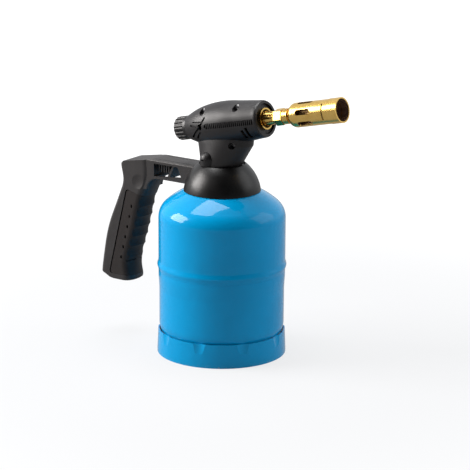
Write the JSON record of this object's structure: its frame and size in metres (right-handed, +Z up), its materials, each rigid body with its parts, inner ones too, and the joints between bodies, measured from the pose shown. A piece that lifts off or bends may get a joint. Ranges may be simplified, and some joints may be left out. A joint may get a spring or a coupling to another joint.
{
  "type": "handgrip torch",
  "caption": "Hand-held gas torch: upright gas cylinder with foot ring, bell collar, side jug handle, tilted head with rear regulator knob and slotted brass burner.",
  "frame": {"origin": "centre of the foot ring's underside, on the gas cylinder's axis", "axes": "+Z up along the cylinder, +X towards the burner with the handle at -X, +Y to the left of someone holding the handle"},
  "size_m": [0.2458, 0.112, 0.2397],
  "materials": {
    "cylinder_paint": "glossy enamel",
    "neck_steel": "turned",
    "valve_brass": "turned",
    "burner_brass": "satin turned",
    "seal_rubber": "matt",
    "spring_steel": "bright",
    "collar_plastic": "smooth satin",
    "handle_plastic": "fine grain",
    "pad_plastic": "soft matt",
    "head_plastic": "fine grain",
    "knob_plastic": "fine grain"
  },
  "bodies": {
    "cylinder": {"lower_shell": "cylinder_paint", "upper_shell": "cylinder_paint", "foot_ring": "cylinder_paint", "neck_boss": "neck_steel", "valve_insert": "valve_brass", "valve_seat_seal": "seal_rubber", "valve_spring": "spring_steel"},
    "inlet_washer": {"inlet_seal": "seal_rubber"},
    "torch": {"inlet_adaptor": "valve_brass", "torch_valve_body": "valve_brass", "packing_nut": "valve_brass", "injector_jet": "valve_brass", "lock_nut": "valve_brass", "inlet_filter": "valve_brass", "burner_stem": "burner_brass", "mixing_tube": "burner_brass", "nose_sleeve": "burner_brass", "hex_nut": "burner_brass", "ribbed_ring": "burner_brass", "burner_body": "burner_brass", "burner_tube": "burner_brass", "flame_holder": "burner_brass", "gland_packing": "seal_rubber", "depressor_pin": "spring_steel", "head_screws": "spring_steel", "bell_collar": "collar_plastic", "handle_frame": "handle_plastic", "grip_pad": "pad_plastic", "head_shell_right": "head_plastic", "head_shell_left": "head_plastic"},
    "poppet": {"valve_poppet": "valve_brass"},
    "spindle_ring": {"spindle_oring": "seal_rubber"},
    "knob": {"needle_spindle": "valve_brass", "control_knob": "knob_plastic", "knob_screw": "spring_steel"}
  },
  "joints": [
    {"name": "torch_lift", "type": "slide", "parent": "cylinder", "child": "inlet_washer", "axis": [0, 0, 1], "range_m": [0, 0.006]},
    {"name": "torch_turn", "type": "hinge", "parent": "inlet_washer", "child": "torch", "pos_m": [0, 0, 0.15], "axis": [0, 0, 1], "range_deg": [0, 1440]},
    {"name": "poppet_travel", "type": "slide", "parent": "cylinder", "child": "poppet", "axis": [0, 0, 1], "range_m": [-0.0008, 0], "stiffness_N_per_m": 400, "springref_m": 0.002, "deforming": ["valve_spring"]},
    {"name": "needle_lift", "type": "slide", "parent": "torch", "child": "spindle_ring", "axis": [-0.9753, 0, -0.2209], "range_m": [0, 0.00112]},
    {"name": "knob_turn", "type": "hinge", "parent": "spindle_ring", "child": "knob", "pos_m": [0, 0, 0.20193], "axis": [-0.9753, 0, -0.2209], "range_deg": [0, 540]}
  ],
  "couplings": [
    {"joint": "torch_lift", "follows": "torch_turn", "m_per_rad": 0.00023873},
    {"joint": "knob_turn", "follows": "needle_lift", "rad_per_m": 8377.5}
  ]
}
